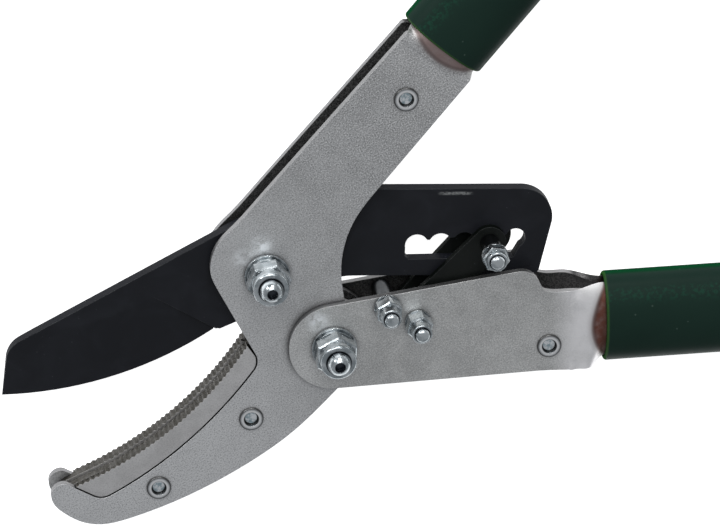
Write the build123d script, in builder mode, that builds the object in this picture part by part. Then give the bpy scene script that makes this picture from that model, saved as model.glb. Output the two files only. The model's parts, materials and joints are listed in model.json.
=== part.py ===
from build123d import *
import math
import os

# Ratchet anvil lopper, lying flat. Millimetres.
# +Z runs along the pivot bolts towards the nut side, +X along the bisector of the two handles
# towards the grips. The origin is the centre of the lever pivot bolt's hex head, on its flat face.

# ---- overall layout ----
MID_Z = 16.0             # height of the blade's mid-plane above the surface the tool lies on
HALF_ANGLE = 24.7        # each handle's angle to the bisector
HANDLE_END_X = 600.0     # both handles end here
PLATE_T = 2.5            # frame and lever plate thickness
FRAME_GAP = 8.0          # clear space between the two frame plates
SIDE_PLAY = 0.25         # play between a frame plate and the lever plate outside it
BLADE_T = 4.5
LINK_T = 2.4
LINK_PLAY = 0.3          # play between the blade and each link plate
RUN = 0.05               # radial running clearance of every bolt in its hole

LEVER_PIVOT = (0.0, 0.0)
BLADE_PIVOT = (-8.5, 33.4)
LINK_PIVOT = (28.8, -5.1)
STOP_POST = (22.1, 4.8)
PAWL_PIN = (62.0, 7.2)
ARM_RIVET = (59.3, 67.9)
LEVER_RIVET = (64.1, -34.7)
ANVIL_RIVETS = [(-36.1, -11.4), (-74.7, -19.2)]
CLOSING_ANGLE = 24.0     # the blade's turn from rest until its edge lies on the anvil

# ---- distances from the mid-plane ----
FRAME_IN = FRAME_GAP / 2
FRAME_OUT = FRAME_IN + PLATE_T
LEVER_IN = FRAME_OUT + SIDE_PLAY
LEVER_OUT = LEVER_IN + PLATE_T
LINK_IN = BLADE_T / 2 + LINK_PLAY
LINK_OUT = LINK_IN + LINK_T

# ---- handle tubes, grips and the plates' half-oval roots inside the tubes ----
TUBE_HALF = (16.0, 10.0)       # half width and half thickness of the oval tube
TUBE_WALL = 1.3
MOUTH_ROUND = 0.9
ROOT_HALF = (14.2, 8.4)        # outside of the two half-oval roots together
ROOT_WALL = 2.2
ROOT_PARTING = 2.6             # each root edge stops this far from the mid-plane, clear of the blade
ROOT_LENGTH = 34.0
ARM_BEND, LEVER_BEND = 6.0, 13.0   # over these lengths a flat plate turns into a half oval
BEND_STEPS = 6
GRIP_HALF = (19.0, MID_Z)
GRIP_LENGTH = 128.0
GRIP_END = 6.0                 # solid end of the grip beyond the tube
GRIP_ROUND = 4.0
GRIP_BORE_PLAY = 0.1
UPPER_OFFSET = 37.8            # upper handle's centre line to the lever pivot
LOWER_OFFSET = 0.8
UPPER_MOUTH = 103.0            # along each handle, from the lever pivot to the tube's mouth
LOWER_MOUTH = 92.5             # the half ovals are fully formed at the mouth

# ---- fasteners ----
M8_R, M8_AF, M8_NUT, M8_COLLAR_R, M8_COLLAR, M8_TIP = 4.0, 13.0, 5.4, 6.1, 4.0, 4.0
M5_R, M5_AF, M5_NUT, M5_COLLAR_R, M5_COLLAR, M5_TIP = 2.5, 8.0, 5.4, 3.4, 4.4, 1.9
M8_CROWN, M5_CROWN = 0.9, 0.6  # rounding of a bolt's domed end, as a part of its radius
NUT_GAP = 0.05                 # play under a nut or head that a turning plate runs against
WASHER_T = 1.6
HEAD_WASHER_R = 8.0            # under the heads of the two main bolts
NUT_WASHER_R, UPPER_WASHER_R = 7.6, 6.9     # the two washers under each of their nuts
SMALL_WASHER_R, SMALL_WASHER_T = 4.4, 1.0   # under the three small nuts
SOCKET_R = 1.9                 # hex socket in the domed end of the two main bolts
SOCKET_DEPTH = 2.2
RIVET_R = 4.1
RIVET_BORE = 2.5               # the open front end of a semi-tubular rivet
RIVET_DEPTH = 1.4
RIVET_RIM = 0.7
RIVET_SPACER_R = 5.5
SPACER_PLAY = 0.05             # play at each end of a spacer between two plates
M8_HEAD, M5_HEAD = 5.15, 3.6   # head heights
LEVER_SPACER_R = 7.0
THRUST_R = 9.0                 # thrust washers beside the blade
THRUST_PLAY = 0.03
LINK_SPACER_R = 5.0
LINK_BUSH_R = 4.5
STOP_SLEEVE_R = 3.2
PAWL_SLEEVE_R = 3.3
SLEEVE_TOP = 15.4              # the pawl pin's washer and nut sit this far from the mid-plane
PAWL_NUT, PAWL_COLLAR, PAWL_TIP = 3.2, 1.8, 1.5
PIN_NECK_R = 2.0               # pawl pin where it lies in the blade's slot
PIN_NECK = BLADE_T / 2 + 0.2   # half length of that neck
PIN_HEAD_R, PIN_HEAD = 5.0, 1.5     # flat head, thin enough to pass inside the back lever plate

# ---- anvil ----
TOOTH_PITCH = 2.0
TOOTH_DEPTH = 0.55
GROOVE_HALF = 1.3
GROOVE_DEPTH = 1.3
RELIEF_R, RELIEF_HALF = 2.0, 2.6    # room in the anvil's end for the full-thickness heel of the blade
EDGE_SINK = 0.4                # how far the closed edge lies below the tooth tips
ANVIL_GAP = 0.55               # parting line between the anvil's head and the frame plates
HEAD_START = 0.3               # the head begins this far down the first line of its seat
TONGUE_PLAY = 0.1
TONGUE_INSET = 1.2

# ---- blade ----
BEVEL_HEIGHT = 22.0
EDGE_HALF = 0.15               # half thickness left at the cutting edge
SCALLOP_PITCH = 8.03
SCALLOP_R = 3.9
FIRST_SCALLOP = 27.0
CUSP_DROP = 1.7                # how far the points between scallops hang below their tops
FIRST_CUSP_DROP = 2.15
CUSP_ROUND = 0.5
END_LOBE_R = 3.4               # last hollow of the slot, at the end of the tail
HEEL_NOTCH, HEEL_NOTCH_R = (-32.4, 20.9), 1.3     # where the ground faces meet the heel

upper_dir = (math.cos(math.radians(HALF_ANGLE)), math.sin(math.radians(HALF_ANGLE)), 0)
lower_dir = (math.cos(math.radians(HALF_ANGLE)), -math.sin(math.radians(HALF_ANGLE)), 0)
tail_dir = (math.cos(math.radians(28.4)), -math.sin(math.radians(28.4)), 0)
UPPER_END = (HANDLE_END_X + UPPER_OFFSET * upper_dir[1]) / upper_dir[0]
LOWER_END = (HANDLE_END_X - LOWER_OFFSET * upper_dir[1]) / upper_dir[0]

os.makedirs("parts", exist_ok=True)


def finish(builder, name):
    """Label a finished piece and write its STEP file."""
    builder.part.label = name
    export_step(builder.part, f"parts/{name}.step")


def level(height, x=0.0, y=0.0):
    """Horizontal plane at a height measured from the mid-plane, centred over (x, y)."""
    return Plane(origin=(x, y, MID_Z + height))


def along(direction, height=0.0):
    """Horizontal plane whose own x runs along a handle, starting beside the lever pivot."""
    return Plane(origin=(0, 0, MID_Z + height), x_dir=direction, z_dir=(0, 0, 1))


def across(direction, distance, offset):
    """Plane square to a handle: its x is sideways in the tool's plane, its y is up."""
    side = (-direction[1], direction[0], 0)
    x = direction[0] * distance + side[0] * offset
    y = direction[1] * distance + side[1] * offset
    return Plane(origin=(x, y, MID_Z), x_dir=side, z_dir=direction)


def on_handle(direction, distance, offset):
    """Point beside a handle's axis, in row coordinates."""
    return (direction[0] * distance - direction[1] * offset,
            direction[1] * distance + direction[0] * offset)


# =====================================================================================
# Anvil line and cutting edge: one arc, drawn closed on the anvil and swung open with the blade
# =====================================================================================
TOOTH_LEFT, TOOTH_MID, TOOTH_RIGHT = (-99.5, -5.0), (-61.4, -1.6), (-25.6, 13.6)
tooth_arc = ThreePointArc(TOOTH_LEFT, TOOTH_MID, TOOTH_RIGHT)
ARC_CENTRE = tooth_arc.arc_center
ARC_R = tooth_arc.radius


def swing(point, angle):
    """Turn a point about the blade pivot."""
    a = math.radians(angle)
    dx, dy = point[0] - BLADE_PIVOT[0], point[1] - BLADE_PIVOT[1]
    return (BLADE_PIVOT[0] + dx * math.cos(a) - dy * math.sin(a),
            BLADE_PIVOT[1] + dx * math.sin(a) + dy * math.cos(a))


def on_arc(x, sink):
    """Point of the anvil arc under x, moved outwards from the arc's centre by sink."""
    r = ARC_R + sink
    return (x, ARC_CENTRE.Y - math.sqrt(r * r - (x - ARC_CENTRE.X) ** 2))


# =====================================================================================
# Frame plates: hook jaw, pivot area and upper arm in one stamping
# =====================================================================================
ARM_FLAT = UPPER_MOUTH - ARM_BEND
ARM_OUTER, ARM_INNER = 13.8, -13.7          # arm edges beside the handle's centre line
SEAT = [(-101.2, -3.2), (-95.4, -11.6), (-93.2, -13.4), (-90.2, -14.0), (-65.8, -10.6),
        (-39.1, -1.7), (-27.1, 4.2), (-25.3, 6.0), (-24.4, 8.6)]   # where the anvil's head sits


def seat_curve(points):
    """Parting line between the anvil's head and a frame plate, from the nose to the throat."""
    with BuildLine() as seat:
        Line(points[0], points[1])
        ThreePointArc(points[1], points[2], points[3])
        Spline(points[3], points[4], points[5], points[6])
        ThreePointArc(points[6], points[7], points[8])
    return seat


def inset(points, gap):
    """Move each point of a chain to its left by gap, square to its neighbours."""
    moved = []
    for i, point in enumerate(points):
        before = Vector(*points[max(i - 1, 0)])
        after = Vector(*points[min(i + 1, len(points) - 1)])
        ahead = (after - before).normalized()
        moved.append((point[0] - ahead.Y * gap, point[1] + ahead.X * gap))
    return moved


def frame_outline():
    """Outline of a frame plate, drawn anticlockwise from the arm's inner end."""
    arm_in = on_handle(upper_dir, ARM_FLAT, UPPER_OFFSET + ARM_INNER)
    arm_out = on_handle(upper_dir, ARM_FLAT, UPPER_OFFSET + ARM_OUTER)
    outer_start = on_handle(upper_dir, 30.0, 53.1)
    with BuildLine() as outline:
        back = Line(arm_out, outer_start)
        shoulder = Spline(outer_start, (-10.6, 54.1), (-19.8, 49.9), (-24.8, 42.6),
                          (-25.2, 35.0), tangents=[back % 1, (0, -1)])
        throat = Line(shoulder @ 1, (-24.6, 13.6))
        Line(throat @ 1, SEAT[-1])
        add(seat_curve(SEAT).line)
        nose = Spline(SEAT[0], (-103.9, -2.0), (-107.0, -3.2), (-108.4, -7.1), (-107.0, -12.0),
                      (-103.0, -18.2), (-98.0, -22.0))
        belly = Spline(nose @ 1, (-87.4, -24.9), (-62.0, -26.8), (-31.0, -23.8), (-4.4, -15.0),
                       tangents=[nose % 1, (0.93, 0.37)])
        boss = ThreePointArc(belly @ 1, (13.4, -4.6), (10.3, 12.2))
        inner = Spline(boss @ 1, (15.8, 26.2), (22.9, 34.8), (40.4, 44.9),
                       tangents=[(0.24, 0.97), upper_dir])
        Line(inner @ 1, arm_in)
        Line(arm_in, arm_out)
    return outline


def bent_edge(edges, flat_height, oval_half, side, travel, starts):
    """Points across a plate face, part of the way along its bend from flat to half oval.

    starts gives where along the bend the low edge, the middle and the high edge begin to move.
    """
    low, high = edges
    reach = oval_half[0] * math.sqrt(1 - (ROOT_PARTING / oval_half[1]) ** 2)
    points = []
    for u in (-1, -0.8, -0.45, 0, 0.45, 0.8, 1):
        start = starts[1] + (starts[2 if u > 0 else 0] - starts[1]) * u * u
        bend = max(0.0, (travel - start) / (1 - start))
        bend = bend * bend * (3 - 2 * bend)
        flat_x = (low + high) / 2 + u * (high - low) / 2
        oval_x = u * reach
        oval_height = oval_half[1] * math.sqrt(1 - (oval_x / oval_half[0]) ** 2)
        points.append((flat_x + (oval_x - flat_x) * bend,
                       (flat_height + (oval_height - flat_height) * bend) * side))
    return points


def add_root(direction, flat_end, length, offset, edges, inner, outer, side, starts):
    """Bend from the flat plate into the half oval, then the straight root inside the tube."""
    inner_half = (ROOT_HALF[0] - ROOT_WALL, ROOT_HALF[1] - ROOT_WALL)
    sections = []
    for step in range(BEND_STEPS + 1):
        travel = step / BEND_STEPS
        with BuildSketch(across(direction, flat_end + length * travel, offset)) as section:
            with BuildLine():
                over = Spline(*bent_edge(edges, outer, ROOT_HALF, side, travel, starts))
                under = Spline(*bent_edge(edges, inner, inner_half, side, travel, starts))
                Line(over @ 0, under @ 0)
                Line(over @ 1, under @ 1)
            make_face()
        sections.append(section.sketch.face())
    loft(sections=sections)
    extrude(sections[-1], amount=ROOT_LENGTH)


ARM_STARTS = (0.42, 0.0, 0.42)        # low edge, middle and high edge

for plate_name, side in (("frame_plate_front", 1), ("frame_plate_back", -1)):
    low = FRAME_IN if side > 0 else -FRAME_OUT
    with BuildPart() as frame_plate:
        with BuildSketch(level(low)):
            with BuildLine():
                add(frame_outline().line)
            make_face()
            with Locations(LEVER_PIVOT, BLADE_PIVOT):
                Circle(M8_R + RUN, mode=Mode.SUBTRACT)
            with Locations(ARM_RIVET, *ANVIL_RIVETS):
                Circle(RIVET_R - RIVET_RIM + RUN, mode=Mode.SUBTRACT)
        extrude(amount=PLATE_T)
        add_root(upper_dir, ARM_FLAT, ARM_BEND, UPPER_OFFSET, (ARM_INNER, ARM_OUTER), FRAME_IN,
                 FRAME_OUT, side, ARM_STARTS)
    finish(frame_plate, plate_name)


# =====================================================================================
# Anvil insert: serrated head flush with the plates, tongue between them, two rivets
# =====================================================================================
def tooth_line():
    """Zigzag of tooth tips and roots from the heel of the anvil to its nose."""
    arc = ThreePointArc(TOOTH_RIGHT, TOOTH_MID, TOOTH_LEFT)
    count = round(arc.length / TOOTH_PITCH)
    points = []
    for i in range(2 * count + 1):
        tip = arc @ (i / (2 * count))
        sink = TOOTH_DEPTH if i % 2 else 0.0
        points.append(on_arc(tip.X, sink))
    return points


teeth_points = tooth_line()[:-1]
head_seat = inset(SEAT, ANVIL_GAP)
head_seat[0] = Line(head_seat[0], head_seat[1]) @ HEAD_START


def tongue_outline():
    """Part of the anvil between the frame plates, following the hook a little inside its edge."""
    with BuildLine() as outline:
        Polyline((-102.4, -5.2), (-60.0, -6.0), (-30.0, 4.0), (-26.4, 6.4), (-26.4, -18.0), (-31.0, -20.8))
        belly = Spline((-31.0, -20.8), (-62.0, -24.0), (-87.4, -22.2), (-97.2, -19.2))
        Spline(belly @ 1, (-103.6, -12.4), (-106.0, -7.6), (-102.4, -5.2))
    return outline


with BuildPart() as anvil_insert:
    with BuildSketch(level(-FRAME_OUT)):
        with BuildLine():
            Polyline(*teeth_points)
            Line(teeth_points[0], head_seat[-1])
            add(seat_curve(head_seat).line)
            Line(head_seat[0], teeth_points[-1])
        make_face()
    extrude(amount=2 * FRAME_OUT)
    with BuildSketch(level(-FRAME_IN + TONGUE_PLAY)):
        with BuildLine():
            add(tongue_outline().line)
        make_face()
    extrude(amount=2 * (FRAME_IN - TONGUE_PLAY))
    with BuildSketch(level(-GROOVE_HALF)):
        with BuildLine():
            low_right = on_arc(TOOTH_RIGHT[0] + 1.5, GROOVE_DEPTH)
            low_mid = on_arc(TOOTH_MID[0], GROOVE_DEPTH)
            low_left = on_arc(TOOTH_LEFT[0] - 3.0, GROOVE_DEPTH)
            ThreePointArc(low_right, low_mid, low_left)
            Polyline(low_left, (low_left[0], 20), (low_right[0], 20), low_right)
        make_face()
    extrude(amount=2 * GROOVE_HALF, mode=Mode.SUBTRACT)
    with BuildSketch(level(-RELIEF_HALF, *TOOTH_RIGHT)):
        Circle(RELIEF_R)
    extrude(amount=2 * RELIEF_HALF, mode=Mode.SUBTRACT)
    with BuildSketch(level(-FRAME_IN)):
        with Locations(*ANVIL_RIVETS):
            Circle(RIVET_R - RIVET_RIM + RUN)
    extrude(amount=FRAME_GAP, mode=Mode.SUBTRACT)
finish(anvil_insert, "anvil_insert")


# =====================================================================================
# Rivets with their spacers
# =====================================================================================
def semi_tubular_rivets(name, points, half_length):
    """Rivets through a stack, a low head on each outer face and a blind bore in the front one."""
    with BuildPart() as rivets:
        with BuildSketch(level(-half_length)):
            with Locations(*points):
                Circle(RIVET_R - RIVET_RIM)
        extrude(amount=2 * half_length)
        for low in (-half_length - RIVET_RIM, half_length):
            with BuildSketch(level(low)):
                with Locations(*points):
                    Circle(RIVET_R)
            extrude(amount=RIVET_RIM)
        rim = rivets.edges().filter_by(GeomType.CIRCLE)
        fillet([e for e in rim if abs(e.radius - RIVET_R) < 0.01
                and abs(abs(e.center().Z - MID_Z) - half_length - RIVET_RIM) < 0.01], 0.4)
        with BuildSketch(level(half_length + RIVET_RIM - RIVET_DEPTH)):
            with Locations(*points):
                Circle(RIVET_BORE)
        extrude(amount=RIVET_DEPTH, mode=Mode.SUBTRACT)
    finish(rivets, name)


def ring(name, point, outer_r, bore_r, low, height):
    """Plain round spacer or washer around a bolt or rivet, low measured from the mid-plane."""
    with BuildPart() as piece:
        with BuildSketch(level(low, *point)):
            Circle(outer_r)
            Circle(bore_r, mode=Mode.SUBTRACT)
        extrude(amount=height)
    finish(piece, name)


def ring_pair(name, point, outer_r, bore_r, low, height):
    """Two equal rings, one on each side of the mid-plane."""
    with BuildPart() as pair:
        for start in (low, -low - height):
            with BuildSketch(level(start, *point)):
                Circle(outer_r)
                Circle(bore_r, mode=Mode.SUBTRACT)
            extrude(amount=height)
    finish(pair, name)


semi_tubular_rivets("anvil_rivets", ANVIL_RIVETS, FRAME_OUT)
semi_tubular_rivets("arm_rivet", [ARM_RIVET], FRAME_OUT)
semi_tubular_rivets("lever_rivet", [LEVER_RIVET], LEVER_OUT)
ring("arm_rivet_spacer", ARM_RIVET, RIVET_SPACER_R, RIVET_R - RIVET_RIM + RUN,
     -FRAME_IN + SPACER_PLAY, 2 * (FRAME_IN - SPACER_PLAY))
ring("lever_rivet_spacer", LEVER_RIVET, RIVET_SPACER_R, RIVET_R - RIVET_RIM + RUN,
     -LEVER_IN + SPACER_PLAY, 2 * (LEVER_IN - SPACER_PLAY))


# =====================================================================================
# Bolts and locking nuts
# =====================================================================================
def hex_bolt(name, point, radius, af, head_under, head_height, tip, crown_part, socket=False):
    """Hex-head bolt, head at the back, domed end at the front; heights from the mid-plane."""
    with BuildPart() as bolt:
        with BuildSketch(level(-head_under - head_height, *point)):
            RegularPolygon(radius=af / 2, side_count=6, major_radius=False)
        extrude(amount=head_height)
        with BuildSketch(level(-head_under, *point)):
            Circle(radius)
        extrude(amount=head_under + tip)
        crown = bolt.faces().sort_by(Axis.Z)[-1]
        fillet(crown.edges(), radius * crown_part)
        if socket:
            with BuildSketch(level(tip - SOCKET_DEPTH, *point)):
                RegularPolygon(radius=SOCKET_R, side_count=6)
            extrude(amount=SOCKET_DEPTH + 1, mode=Mode.SUBTRACT)
    finish(bolt, name)


def lock_nut(name, point, radius, af, low, hex_height, collar_r, collar_height, turn=0.0):
    """Hex nut with the round collar of its nylon insert on top; low is from the mid-plane."""
    with BuildPart() as nut:
        with BuildSketch(level(low, *point)):
            RegularPolygon(radius=af / 2, side_count=6, major_radius=False, rotation=turn)
        extrude(amount=hex_height)
        chamfer(nut.faces().sort_by(Axis.Z)[-1].edges(), 0.5)
        with BuildSketch(level(low + hex_height, *point)):
            Circle(collar_r)
        extrude(amount=collar_height)
        fillet(nut.faces().sort_by(Axis.Z)[-1].edges(), (collar_r - radius) * 0.5)
        with BuildSketch(level(low, *point)):
            Circle(radius + RUN)
        extrude(amount=hex_height + collar_height, mode=Mode.SUBTRACT)
    finish(nut, name)


BLADE_NUT_SEAT = FRAME_OUT + NUT_GAP
BLADE_NUT_LOW = BLADE_NUT_SEAT + 2 * WASHER_T
BLADE_HEAD = FRAME_OUT + NUT_GAP + WASHER_T
hex_bolt("blade_pivot_bolt", BLADE_PIVOT, M8_R, M8_AF, BLADE_HEAD, M8_HEAD,
         BLADE_NUT_LOW + M8_NUT + M8_COLLAR + M8_TIP, M8_CROWN, socket=True)
lock_nut("blade_pivot_nut", BLADE_PIVOT, M8_R, M8_AF, BLADE_NUT_LOW, M8_NUT, M8_COLLAR_R,
         M8_COLLAR, 45.0)
ring("blade_nut_washer", BLADE_PIVOT, NUT_WASHER_R, M8_R + RUN, BLADE_NUT_SEAT, WASHER_T)
ring("blade_nut_upper_washer", BLADE_PIVOT, UPPER_WASHER_R, M8_R + RUN, BLADE_NUT_SEAT + WASHER_T,
     WASHER_T)
ring("blade_pivot_washer", BLADE_PIVOT, HEAD_WASHER_R, M8_R + RUN, -BLADE_HEAD, WASHER_T)
ring_pair("blade_thrust_washers", BLADE_PIVOT, THRUST_R, M8_R + RUN, BLADE_T / 2 + THRUST_PLAY,
          FRAME_IN - BLADE_T / 2 - 2 * THRUST_PLAY)

LEVER_NUT_SEAT = LEVER_OUT + NUT_GAP
LEVER_NUT_LOW = LEVER_NUT_SEAT + 2 * WASHER_T
LEVER_HEAD = LEVER_OUT + NUT_GAP + WASHER_T
hex_bolt("lever_pivot_bolt", LEVER_PIVOT, M8_R, M8_AF, LEVER_HEAD, MID_Z - LEVER_HEAD,
         LEVER_NUT_LOW + M8_NUT + M8_COLLAR + M8_TIP, M8_CROWN, socket=True)
lock_nut("lever_pivot_nut", LEVER_PIVOT, M8_R, M8_AF, LEVER_NUT_LOW, M8_NUT, M8_COLLAR_R,
         M8_COLLAR, 2.0)
ring("lever_nut_washer", LEVER_PIVOT, NUT_WASHER_R, M8_R + RUN, LEVER_NUT_SEAT, WASHER_T)
ring("lever_nut_upper_washer", LEVER_PIVOT, UPPER_WASHER_R, M8_R + RUN, LEVER_NUT_SEAT + WASHER_T,
     WASHER_T)
ring("lever_pivot_washer", LEVER_PIVOT, HEAD_WASHER_R, M8_R + RUN, -LEVER_HEAD, WASHER_T)
ring("lever_pivot_spacer", LEVER_PIVOT, LEVER_SPACER_R, M8_R + RUN, -FRAME_IN + SPACER_PLAY,
     2 * (FRAME_IN - SPACER_PLAY))

SMALL_NUT_LOW = LEVER_OUT + SMALL_WASHER_T
SMALL_TIP = SMALL_NUT_LOW + M5_NUT + M5_COLLAR + M5_TIP
for post, centre, turn in (("link_pivot", LINK_PIVOT, 52.0), ("stop", STOP_POST, 4.0)):
    hex_bolt(f"{post}_bolt", centre, M5_R, M5_AF, LEVER_OUT, M5_HEAD, SMALL_TIP, M5_CROWN)
    lock_nut(f"{post}_nut", centre, M5_R, M5_AF, SMALL_NUT_LOW, M5_NUT, M5_COLLAR_R, M5_COLLAR, turn)
    ring(f"{post}_nut_washer", centre, SMALL_WASHER_R, M5_R + RUN, LEVER_OUT, SMALL_WASHER_T)
ring_pair("link_pivot_spacers", LINK_PIVOT, LINK_SPACER_R, M5_R + RUN, LINK_OUT + 2 * SPACER_PLAY,
          LEVER_IN - LINK_OUT - 3 * SPACER_PLAY)
ring("link_pivot_bush", LINK_PIVOT, LINK_BUSH_R, M5_R + RUN, -LINK_IN, 2 * LINK_IN)
ring("stop_sleeve", STOP_POST, STOP_SLEEVE_R, M5_R + RUN, -LEVER_IN + SPACER_PLAY,
     2 * (LEVER_IN - SPACER_PLAY))

PAWL_NUT_LOW = SLEEVE_TOP + SMALL_WASHER_T
PIN_TIP = PAWL_NUT_LOW + PAWL_NUT + PAWL_COLLAR + PAWL_TIP
with BuildPart() as pawl_pin:
    for low, high, radius in ((-LINK_OUT - PIN_HEAD, -LINK_OUT, PIN_HEAD_R), (-LINK_OUT, -PIN_NECK, M5_R),
                              (-PIN_NECK, PIN_NECK, PIN_NECK_R), (PIN_NECK, PIN_TIP, M5_R)):
        with BuildSketch(level(low, *PAWL_PIN)):
            Circle(radius)
        extrude(amount=high - low)
    chamfer(pawl_pin.faces().sort_by(Axis.Z)[0].edges(), PIN_HEAD / 4)
    fillet(pawl_pin.faces().sort_by(Axis.Z)[-1].edges(), M5_R * M5_CROWN)
finish(pawl_pin, "pawl_pin")
ring("pawl_sleeve", PAWL_PIN, PAWL_SLEEVE_R, M5_R + RUN, LINK_OUT, SLEEVE_TOP - LINK_OUT)
ring("pawl_washer", PAWL_PIN, SMALL_WASHER_R, M5_R + RUN, SLEEVE_TOP, SMALL_WASHER_T)
lock_nut("pawl_nut", PAWL_PIN, M5_R, M5_AF, PAWL_NUT_LOW, PAWL_NUT, M5_COLLAR_R, PAWL_COLLAR, 25.0)


# =====================================================================================
# Blade: ground edge on the left, tail with the scalloped ratchet slot on the right
# =====================================================================================
def tail_point(s, n):
    """Row coordinates of a point s along and n square to the tail."""
    return (tail_dir[0] * s - tail_dir[1] * n, tail_dir[1] * s + tail_dir[0] * n)


def scallop_top(s):
    """Height of a scallop's top beside the tail's own line."""
    return 37.8 + 0.045 * (s - FIRST_SCALLOP)


EDGE_CENTRE = swing((ARC_CENTRE.X, ARC_CENTRE.Y), -CLOSING_ANGLE)
GROUND_END = [(-33.0, 23.2), (-44.4, 40.7)]       # the ground faces stop along this line
edge_heel = swing(on_arc(-26.4, EDGE_SINK), -CLOSING_ANGLE)
edge_middle = swing(on_arc(-61.4, EDGE_SINK), -CLOSING_ANGLE)
edge_tip = swing(on_arc(-98.0, EDGE_SINK), -CLOSING_ANGLE)

with BuildPart() as grinding:
    with BuildSketch(Plane(origin=(*EDGE_CENTRE, MID_Z), x_dir=(1, 0, 0), z_dir=(0, -1, 0))):
        for side in (1, -1):
            with BuildLine():
                top = ARC_R + EDGE_SINK - BEVEL_HEIGHT
                rim = ARC_R + EDGE_SINK
                Polyline((top, side * BLADE_T / 2), (rim, side * EDGE_HALF), (rim + 3, side * EDGE_HALF),
                         (rim + 3, side * BLADE_T), (top, side * BLADE_T), close=True)
            make_face()
    revolve(axis=Axis((*EDGE_CENTRE, 0), (0, 0, 1)), revolution_arc=360)
    rising = Vector(*GROUND_END[1]) - Vector(*GROUND_END[0])
    split(bisect_by=Plane(origin=(*GROUND_END[0], MID_Z), x_dir=(0, 0, 1),
                          z_dir=(-rising.Y, rising.X, 0)), keep=Keep.TOP)

with BuildPart() as blade:
    with BuildSketch(level(-BLADE_T / 2)):
        with BuildLine():
            ThreePointArc(edge_tip, edge_middle, edge_heel)
            Line(edge_heel, (-25.0, 21.2))
            under = Spline((-25.0, 21.2), (-17.0, 18.6), (-6.0, 19.4), (12.7, 18.9), (20.0, 15.4),
                           tangents=[(1, -0.3), tail_dir])
            bottom = Line(under @ 1, tail_point(66.2, 23.0))
            tail_low = ThreePointArc(bottom @ 1, tail_point(67.7, 23.5), tail_point(68.9, 24.8))
            tail_slant = Line(tail_low @ 1, tail_point(72.2, 42.6))
            tail_end = ThreePointArc(tail_slant @ 1, tail_point(69.9, 50.2), tail_point(61.8, 54.2))
            tail_top = Line(tail_end @ 1, tail_point(-8.6, 54.2))
            crest = TangentArc(tail_top @ 1, (0.0, 53.1), tangent=tail_top % 1)
            spine = Line(crest @ 1, (-91.8, 49.7))
            tip_corner = ThreePointArc(spine @ 1, (-96.2, 48.3), (-98.7, 45.8))
            Line(tip_corner @ 1, edge_tip)
        make_face()
        with Locations(BLADE_PIVOT):
            Circle(M8_R + RUN, mode=Mode.SUBTRACT)
        with Locations(HEEL_NOTCH):
            Circle(HEEL_NOTCH_R, mode=Mode.SUBTRACT)
    extrude(amount=BLADE_T)
    with BuildSketch(along(tail_dir, -BLADE_T / 2 - 1)) as slot:
        with BuildLine():
            Polyline((24.4, 28.8), (59.8, 29.4), (63.3, 36.2), (62.4, 38.6), (57.6, 37.6),
                     (36.0, scallop_top(36.0) - CUSP_DROP), (33.0, scallop_top(33.0) - FIRST_CUSP_DROP),
                     (24.6, scallop_top(24.6) - FIRST_CUSP_DROP), (23.2, 33.9), (23.2, 30.2), close=True)
        make_face()
        for i in range(4):
            s = FIRST_SCALLOP + i * SCALLOP_PITCH
            with Locations((s, scallop_top(s) - SCALLOP_R)):
                Circle(SCALLOP_R)
        with Locations((60.2, 36.4)):
            Circle(END_LOBE_R)
        cusps = slot.vertices().filter_by_position(Axis.X, 25.0, 58.0)
        fillet(cusps.filter_by_position(Axis.Y, 34.5, 38.0), CUSP_ROUND)
    extrude(amount=BLADE_T + 2, mode=Mode.SUBTRACT)
    add(grinding.part, mode=Mode.SUBTRACT)
finish(blade, "blade")


# =====================================================================================
# Link plates of the ratchet pawl, one on each side of the blade
# =====================================================================================
for link_name, low, low_end_r, high_end_r in (("link_front", LINK_IN, 6.2, 5.6),
                                              ("link_back", -LINK_OUT, 7.3, 8.4)):
    with BuildPart() as link:
        with BuildSketch(level(low)):
            with Locations(LINK_PIVOT):
                Circle(low_end_r)
            with Locations(PAWL_PIN):
                Circle(high_end_r)
            make_hull()
            with Locations(LINK_PIVOT, PAWL_PIN):
                Circle(M5_R + RUN, mode=Mode.SUBTRACT)
        extrude(amount=LINK_T)
    finish(link, link_name)


# =====================================================================================
# Lever plates: outside the frame plates, from the lever pivot into the lower tube
# =====================================================================================
LEVER_BOSS_R = 15.1
LEVER_FLAT = LOWER_MOUTH - LEVER_BEND
LEVER_STARTS = (0.5, 0.6, 0.0)
LEVER_TOP, LEVER_BOTTOM = 13.9, -15.0       # neck edges beside the handle's centre line
TOP_SLOPE, BOTTOM_SLOPE = -17.4, -23.6


def lever_outline():
    """Outline of a lever plate, drawn clockwise from the neck's upper corner."""
    boss_top = Vector(LEVER_BOSS_R, 0).rotate(Axis.Z, 90 + TOP_SLOPE)
    boss_bottom = Vector(LEVER_BOSS_R, 0).rotate(Axis.Z, BOTTOM_SLOPE - 90)
    neck_top = on_handle(lower_dir, LEVER_FLAT, LOWER_OFFSET + LEVER_TOP)
    neck_bottom = on_handle(lower_dir, LEVER_FLAT, LOWER_OFFSET + LEVER_BOTTOM)
    with BuildLine() as outline:
        Line(neck_top, neck_bottom)
        hollow = Spline(neck_bottom, (61.5, -43.6), (57.0, -41.4))
        Line(hollow @ 1, boss_bottom)
        ThreePointArc(boss_bottom, (-LEVER_BOSS_R, 0), boss_top)
        top = Line(boss_top, (65.0, -4.6))
        shoulder = Spline(top @ 1, (68.9, -6.6), (70.6, -9.6), (70.9, -13.2), tangents=[top % 1, (0, -1)])
        Spline(shoulder @ 1, (71.2, -15.6), (72.7, -16.9), neck_top,
               tangents=[(0, -1), lower_dir])
    return outline


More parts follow.
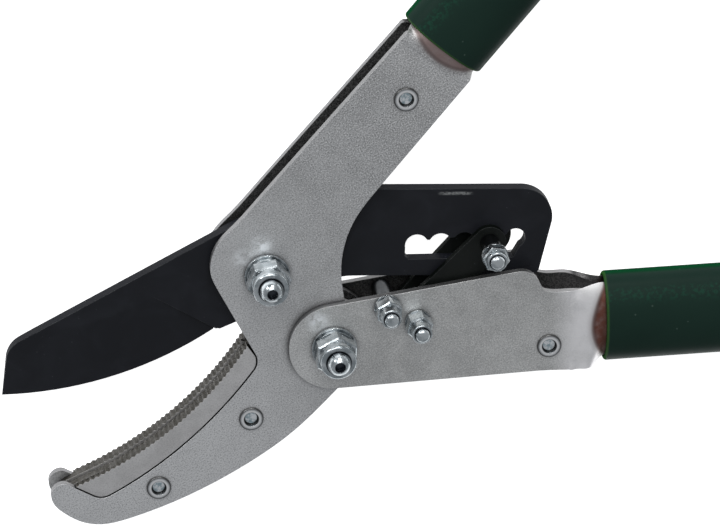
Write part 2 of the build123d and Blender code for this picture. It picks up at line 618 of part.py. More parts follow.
for plate_name, side in (("lever_plate_front", 1), ("lever_plate_back", -1)):
    low = LEVER_IN if side > 0 else -LEVER_OUT
    with BuildPart() as lever_plate:
        with BuildSketch(level(low)):
            with BuildLine():
                add(lever_outline().line)
            make_face()
            with Locations(LEVER_PIVOT):
                Circle(M8_R + RUN, mode=Mode.SUBTRACT)
            with Locations(LINK_PIVOT, STOP_POST):
                Circle(M5_R + RUN, mode=Mode.SUBTRACT)
            with Locations(LEVER_RIVET):
                Circle(RIVET_R - RIVET_RIM + RUN, mode=Mode.SUBTRACT)
        extrude(amount=PLATE_T)
        add_root(lower_dir, LEVER_FLAT, LEVER_BEND, LOWER_OFFSET, (LEVER_BOTTOM, LEVER_TOP), LEVER_IN,
                 LEVER_OUT, side, LEVER_STARTS)
    finish(lever_plate, plate_name)


# =====================================================================================
# Handle tubes and grips
# =====================================================================================
for handle, direction, offset_n, mouth, end in (
        ("upper", upper_dir, UPPER_OFFSET, UPPER_MOUTH, UPPER_END),
        ("lower", lower_dir, LOWER_OFFSET, LOWER_MOUTH, LOWER_END)):
    with BuildPart() as tube:
        with BuildSketch(across(direction, mouth, offset_n)):
            Ellipse(*TUBE_HALF)
            Ellipse(TUBE_HALF[0] - TUBE_WALL, TUBE_HALF[1] - TUBE_WALL, mode=Mode.SUBTRACT)
        extrude(amount=end - GRIP_END - mouth)
        lips = tube.edges().filter_by(GeomType.ELLIPSE).group_by(SortBy.LENGTH)[-1]
        fillet(lips.sort_by(Axis.X)[0], MOUTH_ROUND)
    finish(tube, f"{handle}_tube")

    with BuildPart() as grip:
        with BuildSketch(across(direction, end - GRIP_LENGTH, offset_n)):
            Ellipse(*GRIP_HALF)
        extrude(amount=GRIP_LENGTH)
        fillet(grip.edges().filter_by(GeomType.ELLIPSE), GRIP_ROUND)
        with BuildSketch(across(direction, end - GRIP_LENGTH, offset_n)):
            Ellipse(TUBE_HALF[0] + GRIP_BORE_PLAY, TUBE_HALF[1] + GRIP_BORE_PLAY)
        extrude(amount=GRIP_LENGTH - GRIP_END + GRIP_BORE_PLAY, mode=Mode.SUBTRACT)
    finish(grip, f"{handle}_grip")
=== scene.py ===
import json
import math

import bmesh
import bpy
from mathutils import Matrix, Vector


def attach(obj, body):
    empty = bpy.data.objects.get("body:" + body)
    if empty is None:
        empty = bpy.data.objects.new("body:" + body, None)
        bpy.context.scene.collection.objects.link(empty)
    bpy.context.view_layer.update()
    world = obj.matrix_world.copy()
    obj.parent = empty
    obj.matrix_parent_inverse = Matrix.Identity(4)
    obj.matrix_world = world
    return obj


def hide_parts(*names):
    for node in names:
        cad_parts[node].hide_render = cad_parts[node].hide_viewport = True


# Ratchet anvil lopper lying on a pale floor. Metres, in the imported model's frame.

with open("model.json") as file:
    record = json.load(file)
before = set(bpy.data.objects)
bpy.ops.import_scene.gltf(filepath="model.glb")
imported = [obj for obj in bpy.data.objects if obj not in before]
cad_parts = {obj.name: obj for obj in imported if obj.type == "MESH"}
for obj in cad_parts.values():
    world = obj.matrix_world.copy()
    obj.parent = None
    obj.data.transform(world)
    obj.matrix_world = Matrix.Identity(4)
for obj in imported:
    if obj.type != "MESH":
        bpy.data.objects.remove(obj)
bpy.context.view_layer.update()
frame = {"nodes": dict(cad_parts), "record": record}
nodes = frame["nodes"]

MM = 1000.0                                      # millimetres in a metre

# ---- handle layout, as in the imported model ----
HALF_ANGLE = math.radians(24.7)
HANDLE_END_X = 0.600
# Each handle: the side of the x axis it turns to, its centre line's distance beside the lever
# pivot, and the tube's mouth along it.
UPPER = (1, 0.0378, 0.103)
LOWER = (-1, 0.0008, 0.0925)
MID_Z = 0.016
TUBE_HALF = (0.016, 0.010)
GRIP_HALF = (0.019, 0.016)
GRIP_LENGTH = 0.128

# ---- places on the head, in millimetres ----
TAIL_ANGLE = math.radians(28.4)                  # the blade's tail, below the x axis
TAIL_HIGHLIGHT = (39.0, 52.6, 6.5, 0.6)              # a painted highlight on the tail: along and beside it, and its half sizes
MAIN_BOLTS = [(0.0, 0.0), (-8.5, 33.4)]
SMALL_BOLTS = [(28.8, -5.1), (22.1, 4.8), (62.0, 7.2)]
RIVETS = [(-36.1, -11.4), (-74.7, -19.2), (59.3, 67.9), (64.1, -34.7)]
FRAME_REFLECTIONS = [(-5.6, 43.8), (-13.2, 42.7)]   # painted reflections beside the blade pivot's nut
LEVER_REFLECTIONS = [(-0.6, 11.3)]                  # a painted reflection beside the lever pivot's nut


def handle_direction(sign):
    return Vector((math.cos(HALF_ANGLE), sign * math.sin(HALF_ANGLE), 0.0))


def handle_side(sign):
    return Vector((-sign * math.sin(HALF_ANGLE), math.cos(HALF_ANGLE), 0.0))


def scaled(colour, factor):
    return tuple(min(c * factor, 1.0) for c in colour)


# =====================================================================================
# Node materials. Every pattern runs in the object's own coordinates, in millimetres.
# =====================================================================================
class Shade:
    """A Principled material with short calls for the nodes that feed it."""

    def __init__(self, name, rough=0.5, metallic=0.0):
        self.mat = bpy.data.materials.new(name)
        self.mat.use_nodes = True
        self.tree = self.mat.node_tree
        self.bsdf = self.tree.nodes["Principled BSDF"]
        self.set("Roughness", rough)
        self.set("Metallic", metallic)
        coords = self.tree.nodes.new("ShaderNodeTexCoord")
        scale = self.vector_math("SCALE", coords.outputs["Object"])
        scale.inputs["Scale"].default_value = MM
        self.mm = scale.outputs[0]

    def link(self, output, socket):
        self.tree.links.new(output, socket)

    def set(self, socket, value):
        """Set a Principled socket to a number, a colour or another node's output."""
        self.feed(self.bsdf.inputs[socket], value)

    def feed(self, socket, value):
        """Link an output to a socket, or set its number, vector or colour."""
        if isinstance(value, bpy.types.NodeSocket):
            self.link(value, socket)
        elif isinstance(value, tuple) and len(value) == 3 and len(socket.default_value) == 4:
            socket.default_value = (*value, 1.0)
        else:
            socket.default_value = value

    def vector_math(self, operation, a, b=None):
        node = self.tree.nodes.new("ShaderNodeVectorMath")
        node.operation = operation
        self.link(a, node.inputs[0])
        if b is not None:
            self.feed(node.inputs[1], b)
        return node

    def stretched(self, factors):
        """Coordinates in millimetres, squeezed by a factor along each axis."""
        return self.vector_math("MULTIPLY", self.mm, factors).outputs[0]

    def noise(self, size, detail=3.0, rough=0.55, distortion=0.0, coords=None):
        node = self.tree.nodes.new("ShaderNodeTexNoise")
        self.link(coords or self.mm, node.inputs["Vector"])
        node.inputs["Scale"].default_value = 1.0 / size
        node.inputs["Detail"].default_value = detail
        node.inputs["Roughness"].default_value = rough
        node.inputs["Distortion"].default_value = distortion
        return node.outputs["Fac"]

    def cells(self, size):
        node = self.tree.nodes.new("ShaderNodeTexVoronoi")
        self.link(self.mm, node.inputs["Vector"])
        node.inputs["Scale"].default_value = 1.0 / size
        return node.outputs["Distance"]

    def remap(self, value, low, high, to_low=0.0, to_high=1.0):
        node = self.tree.nodes.new("ShaderNodeMapRange")
        node.interpolation_type = "SMOOTHSTEP"
        self.feed(node.inputs["Value"], value)
        node.inputs["From Min"].default_value = low
        node.inputs["From Max"].default_value = high
        node.inputs["To Min"].default_value = to_low
        node.inputs["To Max"].default_value = to_high
        return node.outputs["Result"]

    def math(self, operation, a, b=0.0):
        node = self.tree.nodes.new("ShaderNodeMath")
        node.operation = operation
        self.feed(node.inputs[0], a)
        self.feed(node.inputs[1], b)
        return node.outputs[0]

    def times(self, a, b):
        return self.math("MULTIPLY", a, b)

    def mix(self, share, a, b):
        node = self.tree.nodes.new("ShaderNodeMix")
        node.data_type = "RGBA"
        self.feed(node.inputs["Factor"], share)
        self.feed(node.inputs["A"], a)
        self.feed(node.inputs["B"], b)
        return node.outputs["Result"]

    def bump(self, height, millimetres, strength=1.0, below=None):
        node = self.tree.nodes.new("ShaderNodeBump")
        node.inputs["Strength"].default_value = strength
        node.inputs["Distance"].default_value = millimetres / MM
        self.link(height, node.inputs["Height"])
        if below:
            self.link(below, node.inputs["Normal"])
        return node.outputs["Normal"]

    def rounded(self, millimetres):
        """Normals rounded off at hard edges, and a mask that is 1 where they turn most."""
        bevel = self.tree.nodes.new("ShaderNodeBevel")
        bevel.samples = 4
        bevel.inputs["Radius"].default_value = millimetres / MM
        dot = self.vector_math("DOT_PRODUCT", bevel.outputs["Normal"], self.normal())
        return bevel.outputs["Normal"], self.remap(dot.outputs["Value"], 0.995, 0.86)

    def corner_shade(self, millimetres):
        """Mask for painted shade: 1 deep in a corner or beside a neighbour, 0 in the open."""
        node = self.tree.nodes.new("ShaderNodeAmbientOcclusion")
        node.samples = 6
        node.inputs["Distance"].default_value = millimetres / MM
        return self.remap(node.outputs["AO"], 0.92, 0.30)

    def component(self, vector, axis):
        node = self.tree.nodes.new("ShaderNodeSeparateXYZ")
        self.link(vector, node.inputs[0])
        return node.outputs[axis]

    def normal(self):
        return self.tree.nodes.new("ShaderNodeNewGeometry").outputs["Normal"]

    def facing_up(self):
        """Height component of the surface normal."""
        return self.component(self.normal(), "Z")

    def facing_back(self):
        """1 on sides that face away from the anvil, towards +Y."""
        return self.remap(self.component(self.normal(), "Y"), 0.0, 0.2)

    def upright(self):
        """1 on the narrow sides of a piece that lies flat, 0 on its faces."""
        return self.remap(self.math("ABSOLUTE", self.facing_up()), 0.60, 0.20)

    def around(self, centres):
        """Millimetres from the nearest of the given upright axes."""
        flat = self.stretched((1.0, 1.0, 0.0))
        nearest = None
        for x, y in centres:
            away = self.vector_math("DISTANCE", flat, (x, y, 0.0)).outputs["Value"]
            nearest = self.math("MINIMUM", nearest, away) if nearest else away
        return nearest

    def band(self, value, low, high, soft):
        """1 between low and high, fading over soft outside them."""
        rise = self.remap(value, low - soft, low)
        return self.times(rise, self.remap(value, high + soft, high))

    def along(self, direction, start):
        """Millimetres along a unit direction, counted from start."""
        dot = self.vector_math("DOT_PRODUCT", self.mm, direction)
        return self.math("SUBTRACT", dot.outputs["Value"], start)

    def on_handle(self, handle):
        """Millimetres past the tube's mouth, and beside the handle's centre line."""
        sign, offset, mouth = handle
        ahead = self.along(handle_direction(sign), mouth * MM)
        return ahead, self.along(handle_side(sign), offset * MM)


def plate_steel(name, grey, speckle, handle, lens, lens_shade_colour, painted_sheen, reflections):
    """Tumbled stamped steel: speckled grain, soft mottling, painted highlight and red-brown
    painted shade by the tube.

    speckle is the grain's strength at the head and beside the tube, lens how far the painted shade
    bulges out of the tube's mouth, and the sheen argument how strong the painted highlight beside
    it is. The last argument lists the places beside the nuts where a reflection is painted.
    """
    s = Shade(name, metallic=1.0)
    grain = s.noise(0.45, detail=3.0, rough=0.7)
    blotch = s.noise(7.0, detail=4.0, distortion=0.4)
    broad = s.noise(34.0, detail=2.0)
    ahead, aside = s.on_handle(handle)
    place_x, height = s.component(s.mm, "X"), s.component(s.mm, "Z")

    # mottling, and painted light that makes the steel lighter towards the hook
    tone = s.math("ADD", s.times(blotch, 0.55), s.times(broad, 0.45))
    colour = s.mix(s.remap(tone, 0.36, 0.66), scaled(grey, 0.90), scaled(grey, 1.10))
    colour = s.mix(s.remap(place_x, 20.0, -50.0, 0.0, 0.46), colour, (0.96, 0.96, 0.965))

    # speckled grain and dark nicks
    coarse = s.remap(ahead, -100.0, -25.0, speckle[0], speckle[1])
    colour = s.mix(s.times(s.remap(grain, 0.50, 0.34), coarse), colour, scaled(grey, 0.40))
    colour = s.mix(s.times(s.remap(grain, 0.50, 0.66), coarse), colour, scaled(grey, 1.65))
    nicks = s.remap(s.noise(0.9, detail=6.0, rough=0.8), 0.66, 0.74)
    colour = s.mix(s.times(nicks, 0.22), colour, (0.22, 0.22, 0.23))

    # painted highlight beside the tube, then red-brown painted shade: fading tint, lens, dark
    # crease
    bright = s.times(s.remap(ahead, -21.0, -9.0), s.remap(blotch, 0.30, 0.60, 0.75, 1.0))
    colour = s.mix(s.times(bright, painted_sheen), colour, (1.0, 0.985, 0.99))
    across = s.math("DIVIDE", s.math("ABSOLUTE", aside), 13.0)
    swell = s.math("SUBTRACT", 1.0, s.math("POWER", across, 2.0))
    into = s.math("ADD", ahead, s.times(swell, lens))
    lens_shade_fade = s.remap(into, -2.6, 0.3, 0.0, 0.40)
    colour = s.mix(lens_shade_fade, colour, tuple(0.5 * c + 0.12 for c in lens_shade_colour))
    lens_shade = s.times(s.remap(into, -0.9, 0.9), s.remap(s.noise(4.0), 0.30, 0.62, 0.80, 0.98))
    colour = s.mix(lens_shade, colour, lens_shade_colour)
    colour = s.mix(s.times(s.band(into, 0.3, 0.7, 1.0), 0.40), colour, (0.09, 0.07, 0.065))

    # painted reflections beside the nuts, painted shade on the narrow sides, lighter arrises, and
    # painted shade in the corners
    rubbed = s.times(s.remap(s.around(reflections), 4.8, 0.8), s.remap(s.noise(2.4), 0.35, 0.60))
    colour = s.mix(s.times(rubbed, 0.85), colour, (0.97, 0.985, 1.0))
    turned, edge = s.rounded(0.30)
    colour = s.mix(s.times(s.upright(), 0.85), colour, (0.17, 0.17, 0.175))
    colour = s.mix(s.times(edge, 0.25), colour, (0.70, 0.70, 0.71))
    colour = s.mix(s.times(s.corner_shade(3.0), 0.80), colour, (0.035, 0.035, 0.037))

    # the back plate's inner face lies in the dark, less so at the hook's open end
    inside = s.times(s.remap(height, 16.0, 15.4), s.remap(s.facing_up(), 0.05, 0.35))
    inside = s.times(inside, s.remap(place_x, -101.0, -96.0, 0.35, 1.0))
    inside = s.times(inside, s.remap(grain, 0.35, 0.62, 0.96, 0.84))
    colour = s.mix(inside, colour, (0.022, 0.022, 0.022))
    s.set("Base Color", colour)
    s.set("Roughness", s.remap(grain, 0.30, 0.70, 0.46, 0.58))
    s.set("Normal", s.bump(grain, 0.02, 0.40, s.bump(blotch, 0.05, 0.20, turned)))
    return s.mat


def anvil_steel():
    """Sintered anvil: the plates' grey on its flat side, dark olive brown along the teeth."""
    s = Shade("anvil_steel", metallic=1.0)
    grain = s.noise(0.45, detail=3.0, rough=0.7)
    patch = s.noise(8.0, detail=3.0)
    colour = s.mix(s.remap(patch, 0.35, 0.65), (0.60, 0.59, 0.585), (0.69, 0.68, 0.675))
    colour = s.mix(s.times(s.remap(grain, 0.50, 0.34), 0.30), colour, (0.25, 0.245, 0.24))
    colour = s.mix(s.times(s.remap(grain, 0.50, 0.66), 0.25), colour, (0.90, 0.89, 0.87))
    stain = s.times(s.upright(), s.remap(s.noise(2.0), 0.30, 0.65, 0.90, 0.99))
    colour = s.mix(stain, colour, (0.028, 0.0245, 0.018))
    turned, edge = s.rounded(0.20)
    colour = s.mix(s.times(edge, 0.27), colour, (0.40, 0.385, 0.33))
    # painted shade in the anvil's corners and beside the plates
    colour = s.mix(s.times(s.corner_shade(1.2), 0.75), colour, (0.012, 0.011, 0.009))
    s.set("Base Color", colour)
    s.set("Roughness", s.remap(grain, 0.30, 0.70, 0.44, 0.60))
    s.set("Normal", s.bump(grain, 0.02, 0.45, turned))
    return s.mat


def blade_coating(name, base, worn, highlights):
    """Black non-stick coating: faint orange-peel, dusty specks, rubbed arrises.

    The scuffs argument lists painted highlights, each a place along and beside the tail with its
    two half sizes.
    """
    s = Shade(name)
    peel = s.noise(0.7, detail=3.0)
    fine = s.noise(0.22, detail=2.0)
    dust = s.noise(14.0, detail=5.0, rough=0.65, distortion=0.6)
    colour = s.mix(s.remap(dust, 0.40, 0.72), base, scaled(base, 1.4))
    specks = s.times(s.remap(s.cells(2.6), 0.075, 0.04), s.remap(dust, 0.42, 0.60))
    colour = s.mix(s.times(specks, 0.45), colour, (0.09, 0.095, 0.11))
    # painted highlights on the tail
    for place, beside, half_length, half_width in highlights:
        along_tail = s.along((math.cos(TAIL_ANGLE), -math.sin(TAIL_ANGLE), 0.0), place)
        across_tail = s.along((math.sin(TAIL_ANGLE), math.cos(TAIL_ANGLE), 0.0), beside)
        patch = s.times(s.band(along_tail, -half_length / 2, half_length / 2, half_length / 2),
                        s.band(across_tail, -half_width / 3, half_width / 3, half_width))
        highlight = s.times(patch, s.remap(s.noise(1.0, detail=5.0, rough=0.75), 0.36, 0.56))
        colour = s.mix(s.times(highlight, 0.6), colour, (0.30, 0.31, 0.31))
    turned, edge = s.rounded(0.30)
    rubbed = s.times(edge, s.remap(dust, 0.35, 0.60, 0.15, worn))
    colour = s.mix(rubbed, colour, (0.10, 0.105, 0.11))
    s.set("Base Color", colour)
    s.set("Specular IOR Level", s.remap(s.upright(), 0.0, 1.0, 0.22, 0.02))
    s.set("Roughness", s.remap(dust, 0.35, 0.70, 0.38, 0.50))
    s.set("Normal", s.bump(peel, 0.03, 0.22, s.bump(fine, 0.01, 0.18, turned)))
    return s.mat


def zinc_plate():
    """Bright zinc plating with a blue cast, and painted shade in the corners.

    The dark gap round each bolt's end and the dark spots at the main bolts' centres are drawn
    above the plates only.
    """
    s = Shade("zinc_plate", metallic=1.0)
    cloud = s.noise(3.0, detail=3.0, distortion=0.3)
    fine = s.noise(0.25, detail=3.0)
    colour = s.mix(s.remap(cloud, 0.35, 0.66), (0.36, 0.40, 0.42), (0.62, 0.66, 0.68))
    turned, edge = s.rounded(0.25)
    colour = s.mix(s.times(edge, 0.55), colour, (0.88, 0.90, 0.92))
    # painted shade in the corners and beside neighbouring parts
    colour = s.mix(s.times(s.corner_shade(1.6), 0.85), colour, (0.05, 0.055, 0.06))
    above = s.remap(s.component(s.mm, "Z"), 17.0, 18.0)
    main, small = s.around(MAIN_BOLTS), s.around(SMALL_BOLTS)
    gap = s.math("MAXIMUM", s.band(main, 4.0, 4.25, 0.2), s.band(small, 2.45, 2.65, 0.15))
    dark = s.times(s.math("MAXIMUM", gap, s.remap(main, 2.0, 1.7)), above)
    colour = s.mix(s.times(dark, 0.92), colour, (0.018, 0.022, 0.032))
    s.set("Base Color", colour)
    s.set("Roughness", s.remap(cloud, 0.30, 0.70, 0.20, 0.30))
    s.set("Normal", s.bump(fine, 0.006, 0.20, turned))
    return s.mat


def rivet_steel():
    """Semi-tubular rivets: a painted highlight on the rolled rim, painted shade at the head's edge
    and on the bore's wall, bluish zinc at the bottom.
    """
    s = Shade("rivet_steel", metallic=1.0)
    cloud = s.noise(1.4, detail=4.0)
    fine = s.noise(0.20, detail=2.0)
    radius = s.around(RIVETS)
    colour = s.mix(s.remap(cloud, 0.35, 0.65), (0.52, 0.53, 0.54), (0.66, 0.67, 0.68))
    # painted highlight along the rolled rim
    colour = s.mix(s.band(radius, 2.75, 3.15, 0.25), colour, (0.97, 0.97, 0.97))
    # painted shade round the head's outer edge
    colour = s.mix(s.remap(radius, 3.45, 3.85), colour, (0.12, 0.12, 0.12))
    # painted shadow on the bore's wall
    colour = s.mix(s.remap(radius, 2.62, 2.45), colour, (0.045, 0.048, 0.05))
    floor_tone = s.mix(s.remap(cloud, 0.40, 0.60), (0.42, 0.52, 0.56), (0.95, 0.98, 1.0))
    colour = s.mix(s.remap(radius, 2.15, 1.85), colour, floor_tone)
    s.set("Base Color", colour)
    s.set("Roughness", s.remap(fine, 0.30, 0.70, 0.28, 0.40))
    s.set("Normal", s.bump(fine, 0.008, 0.25, s.rounded(0.25)[0]))
    return s.mat


def blued_steel(name, base, rough):
    """Turned steel, blued, as on the spacers: faint lathe rings and rubbed rims."""
    s = Shade(name, metallic=1.0, rough=rough)
    rings = s.noise(0.5, detail=2.0, coords=s.stretched((0.15, 0.15, 3.0)))
    cloud = s.noise(3.0, detail=3.0)
    colour = s.mix(s.remap(cloud, 0.35, 0.65), base, scaled(base, 1.6))
    turned, edge = s.rounded(0.25)
    colour = s.mix(s.times(edge, 0.6), colour, (0.55, 0.57, 0.60))
    # painted shade in the corners and beside neighbouring parts
    colour = s.mix(s.times(s.corner_shade(3.0), 0.7), colour, (0.015, 0.017, 0.02))
    s.set("Base Color", colour)
    s.set("Normal", s.bump(rings, 0.02, 0.3, turned))
    return s.mat


def brass():
    s = Shade("bearing_brass", metallic=1.0)
    cloud = s.noise(2.5, detail=4.0)
    s.set("Base Color", s.mix(s.remap(cloud, 0.35, 0.65), (0.50, 0.38, 0.17), (0.72, 0.56, 0.27)))
    s.set("Roughness", s.remap(cloud, 0.30, 0.70, 0.30, 0.45))
    s.set("Normal", s.bump(s.noise(0.3, detail=2.0), 0.01, 0.4))
    return s.mat


def green_paint():
    """Dark green enamel, even on the broad faces, with a painted highlight streak and painted
    light on the narrow sides and lips.
    """
    s = Shade("tube_paint")
    peel = s.noise(2.6, detail=2.0)
    cloud = s.noise(40.0, detail=3.0)
    colour = s.mix(s.remap(cloud, 0.35, 0.65), (0.0105, 0.0245, 0.0190), (0.0120, 0.0280, 0.0215))
    # painted highlight: a faint lighter streak along the tube
    highlight_streak = s.times(s.remap(s.noise(1.2, detail=4.0), 0.46, 0.62),
                     s.times(s.band(s.facing_up(), 0.84, 0.90, 0.07), s.facing_back()))
    colour = s.mix(s.times(highlight_streak, 0.16), colour, (0.012, 0.13, 0.07))
    specks = s.remap(s.cells(6.0), 0.07, 0.045)
    colour = s.mix(s.times(specks, 0.35), colour, (0.09, 0.13, 0.11))
    # painted light: the narrow sides and the front sides a brighter, purer green
    slope = s.math("ABSOLUTE", s.facing_up())
    facing_front = s.math("SUBTRACT", 1.0, s.facing_back())
    front_side = s.times(s.remap(slope, 0.66, 0.40), facing_front)
    sides = s.math("MAXIMUM", s.remap(slope, 0.42, 0.0), front_side)
    colour = s.mix(s.times(sides, 0.9), colour, (0.0012, 0.052, 0.015))
    # painted light: a lighter green lip at each tube's mouth
    for handle in (UPPER, LOWER):
        ahead, aside = s.on_handle(handle)
        lit_lip = s.times(s.remap(ahead, 1.0, 0.35), s.band(ahead, -2.0, 3.0, 1.0))
        lit_lip = s.times(lit_lip, s.remap(s.math("ABSOLUTE", aside), 19.0, 18.0))
        colour = s.mix(s.times(lit_lip, 0.38), colour, (0.060, 0.155, 0.030))
    turned = s.rounded(0.45)[0]
    s.set("Base Color", colour)
    s.set("Specular IOR Level", s.remap(sides, 0.0, 0.5, 0.035, 0.0))
    s.set("Roughness", s.remap(peel, 0.30, 0.70, 0.30, 0.38))
    s.set("Normal", s.bump(peel, 0.03, 0.12, turned))
    return s.mat


def grip_rubber():
    """Moulded grip: matt black rubber with a fine spark-eroded grain and dusty high spots."""
    s = Shade("grip_rubber", rough=0.7)
    grain = s.cells(0.8)
    cloud = s.noise(12.0, detail=4.0)
    colour = s.mix(s.remap(cloud, 0.35, 0.70), (0.009, 0.0095, 0.010), (0.020, 0.0205, 0.021))
    turned, edge = s.rounded(0.60)
    s.set("Base Color", s.mix(s.times(edge, 0.4), colour, (0.07, 0.07, 0.07)))
    s.set("Roughness", s.remap(cloud, 0.30, 0.70, 0.58, 0.74))
    s.set("Normal", s.bump(grain, 0.08, 0.5, turned))
    return s.mat


frame_steel = plate_steel("frame_steel", grey=(0.548, 0.549, 0.549), speckle=(0.62, 0.92),
                          handle=UPPER, lens=4.3, lens_shade_colour=(0.36, 0.265, 0.25), painted_sheen=0.06,
                          reflections=FRAME_REFLECTIONS)
lever_steel = plate_steel("lever_steel", grey=(0.60, 0.60, 0.59), speckle=(0.50, 0.46),
                          handle=LOWER, lens=5.0, lens_shade_colour=(0.20, 0.072, 0.050), painted_sheen=1.0,
                          reflections=LEVER_REFLECTIONS)
finish = {
    "anvil_steel": anvil_steel(),
    "blade_coating": blade_coating("blade_coating", base=(0.0078, 0.0086, 0.0113), worn=0.75,
                                   highlights=[TAIL_HIGHLIGHT]),
    "link_coating": blade_coating("link_coating", base=(0.0034, 0.0044, 0.0038), worn=0.35,
                                  highlights=[]),
    "rivet_steel": rivet_steel(),
    "bearing_brass": brass(),
    "spacer_steel": blued_steel("spacer_steel", (0.034, 0.038, 0.042), 0.28),
    "zinc_plate": zinc_plate(),
    "tube_paint": green_paint(),
    "grip_rubber": grip_rubber(),
}
for part in frame["record"]["subparts"]:
    obj = nodes[part["node"]]
    slot = part["material_slot"]
    if slot == "plate_steel":
        material = lever_steel if part["node"].startswith("lever") else frame_steel
    else:
        material = finish[slot]
    obj.data.materials.clear()
    obj.data.materials.append(material)


# =====================================================================================
# Grips: oval sleeves with a flared collar, ribs and a domed end
# =====================================================================================
RIB_PITCH = 0.0064
RIB_DEPTH = 0.0009
# one rib and its groove: share of the pitch, and share of the depth cut there
RIB_SHAPE = ((0.00, 1.0), (0.10, 0.35), (0.20, 0.0), (0.70, 0.0), (0.80, 0.35), (0.90, 1.0))
GRIP_SIDES = 96
BORE_SHARE = 1.012                               # the grip's bore, as a share of the tube's oval
BORE_DEPTH = 0.006


def grip_profile():
    """Pairs of distance from the grip's mouth and share of the full oval, mouth to end."""
    profile = [(0.0, 0.875), (0.0, 0.955), (0.0008, 0.985), (0.0022, 1.0), (0.0060, 1.0),
               (0.0074, 0.985), (0.0084, 0.955), (0.0095, 0.945)]
    start, stop = 0.0150, GRIP_LENGTH - 0.0180
    count = int((stop - start) / RIB_PITCH)
    for i in range(count):
        x = start + i * RIB_PITCH
        for share, depth in RIB_SHAPE:
            swell = 0.975 + 0.025 * math.sin(math.pi * (x - start) / (stop - start))
            profile.append((x + share * RIB_PITCH, swell - depth * RIB_DEPTH / GRIP_HALF[1]))
    end = GRIP_LENGTH
    profile += [(end - 0.0130, 0.945), (end - 0.0110, 0.955), (end - 0.0095, 0.99),
                (end - 0.0080, 1.0), (end - 0.0040, 1.0), (end - 0.0018, 0.957),
                (end - 0.0005, 0.870), (end, 0.745), (end, 0.40), (end - 0.0006, 0.36),
                (end - 0.0006, 0.02)]
    return profile


def oval_ring(bm, centre, side, half, share):
    """Vertices round an upright oval, its half sizes cut to a share."""
    ring = []
    for i in range(GRIP_SIDES):
        a = 2 * math.pi * i / GRIP_SIDES
        ring.append(bm.verts.new(centre + side * (half[0] * share * math.cos(a))
                                 + Vector((0, 0, half[1] * share * math.sin(a)))))
    return ring


def bridge(bm, low, high):
    """Faces between two rings."""
    for i in range(GRIP_SIDES):
        j = (i + 1) % GRIP_SIDES
        bm.faces.new((low[i], low[j], high[j], high[i]))


def make_grip(name, handle, body):
    sign, offset, _ = handle
    ahead, side = handle_direction(sign), handle_side(sign)
    length = (HANDLE_END_X + sign * offset * math.sin(HALF_ANGLE)) / math.cos(HALF_ANGLE)
    mesh = bpy.data.meshes.new(name)
    bm = bmesh.new()

    def ring_at(distance, half, share):
        along = ahead * (length - GRIP_LENGTH + distance)
        return oval_ring(bm, along + side * offset + Vector((0, 0, MID_Z)), side, half, share)

    rings = [ring_at(distance, GRIP_HALF, share) for distance, share in grip_profile()]
    for low, high in zip(rings, rings[1:]):
        bridge(bm, low, high)
    bm.faces.new(rings[-1])
    inner = [ring_at(distance, TUBE_HALF, BORE_SHARE) for distance in (0.0, BORE_DEPTH)]
    bridge(bm, inner[1], inner[0])
    bridge(bm, inner[0], rings[0])
    bmesh.ops.recalc_face_normals(bm, faces=bm.faces)
    bm.to_mesh(mesh)
    bm.free()
    for face in mesh.polygons:
        face.use_smooth = True
    mesh.materials.append(finish["grip_rubber"])
    grip = bpy.data.objects.new(name, mesh)
    bpy.context.scene.collection.objects.link(grip)
    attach(grip, body)
    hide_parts("upper_grip" if sign > 0 else "lower_grip")


make_grip("ribbed_grip_upper", UPPER, "frame")
make_grip("ribbed_grip_lower", LOWER, "lever")


# =====================================================================================
# Floor, light and camera
# =====================================================================================
FLOOR_HALF, FLOOR_DROP, FLOOR_GLOW = 6.0, 0.0003, 0.80
WORLD_COLOUR, WORLD_STRENGTH = (0.93, 0.96, 1.0, 1.0), 0.36


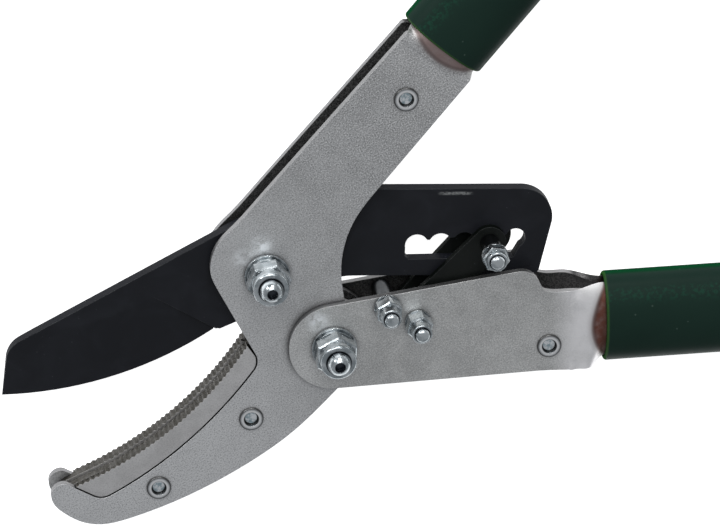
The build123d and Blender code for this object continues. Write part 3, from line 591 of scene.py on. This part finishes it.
def add_floor():
    bm = bmesh.new()
    bmesh.ops.create_grid(bm, x_segments=1, y_segments=1, size=FLOOR_HALF)
    mesh = bpy.data.meshes.new("floor")
    bm.to_mesh(mesh)
    bm.free()
    floor = bpy.data.objects.new("floor", mesh)
    floor.location = (0.0, 0.0, -FLOOR_DROP)
    bpy.context.scene.collection.objects.link(floor)
    s = Shade("floor_paper", rough=0.9)
    s.set("Base Color", s.mix(s.noise(400.0, detail=2.0), (0.93, 0.93, 0.93), (0.95, 0.95, 0.95)))
    s.set("Emission Color", (1.0, 1.0, 1.0))
    s.set("Emission Strength", FLOOR_GLOW)
    mesh.materials.append(s.mat)


# Camera at the photo's angle: the picture's right, up and towards directions in the frame.
TARGET = Vector((0.0201, 0.0190, MID_Z))
RIGHT = Vector((0.89474, -0.42560, 0.13529))
UP = Vector((0.44229, 0.80254, -0.40038))
TOWARDS = Vector((0.06183, 0.41807, 0.90631))
LENS, SENSOR, PICTURE_WIDTH = 250.0, 36.0, 0.240


def turn(right, up, towards):
    """Rotation whose local x, y and z axes are the three given directions."""
    return Matrix((right, up, towards)).transposed().to_euler()


def add_camera():
    data = bpy.data.cameras.new("camera")
    data.type = "PERSP"
    data.lens = LENS
    data.sensor_width = SENSOR
    data.clip_end = 20.0
    camera = bpy.data.objects.new("camera", data)
    camera.rotation_euler = turn(RIGHT, UP, TOWARDS)
    camera.location = TARGET + TOWARDS * (PICTURE_WIDTH * LENS / SENSOR)
    bpy.context.scene.collection.objects.link(camera)
    bpy.context.scene.camera = camera


def add_light(name, position, aim, size, power):
    data = bpy.data.lights.new(name, "AREA")
    data.shape = "RECTANGLE"
    data.size, data.size_y = size
    data.energy = power
    light = bpy.data.objects.new(name, data)
    light.location = position
    towards = (Vector(position) - Vector(aim)).normalized()
    light.rotation_euler = towards.to_track_quat("Z", "Y").to_euler()
    bpy.context.scene.collection.objects.link(light)


def add_world():
    world = bpy.data.worlds.new("studio")
    world.use_nodes = True
    background = world.node_tree.nodes["Background"]
    background.inputs["Color"].default_value = WORLD_COLOUR
    background.inputs["Strength"].default_value = WORLD_STRENGTH
    bpy.context.scene.world = world
    bpy.context.scene.view_settings.view_transform = "Standard"


add_floor()
add_world()
add_camera()
add_light("top_left", (-0.38, 1.10, 0.60), (0.02, 0.02, 0.02), (0.22, 0.22), 4.0)
add_light("top_right", (0.60, 1.02, 0.60), (0.02, 0.02, 0.02), (0.20, 0.20), 3.5)
add_light("overhead", (0.35, 0.85, 1.20), (0.03, 0.0, 0.02), (0.9, 0.7), 7.0)
